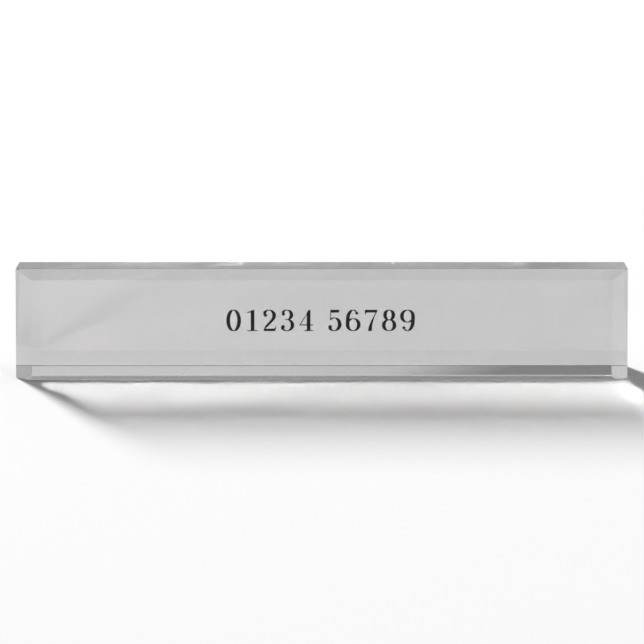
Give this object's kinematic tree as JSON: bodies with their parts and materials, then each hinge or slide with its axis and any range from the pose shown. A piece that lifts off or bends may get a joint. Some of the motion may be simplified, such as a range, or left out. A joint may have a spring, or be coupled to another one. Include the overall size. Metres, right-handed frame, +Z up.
{
  "type": "nameplate",
  "caption": "Low clear acrylic desk nameplate block with a leaning bevelled front and a printed film on its upright back.",
  "frame": {"origin": "middle of the footprint, on the desk", "axes": "+X to the reader's right along the plate, +Y from the reader towards the back, +Z up"},
  "size_m": [0.2032, 0.0216, 0.0355],
  "materials": {
    "cast_acrylic": "clear, polished",
    "printed_film": "even light grey print, satin"
  },
  "bodies": {
    "root": {"acrylic_block": "cast_acrylic", "print_film": "printed_film"}
  },
  "joints": []
}
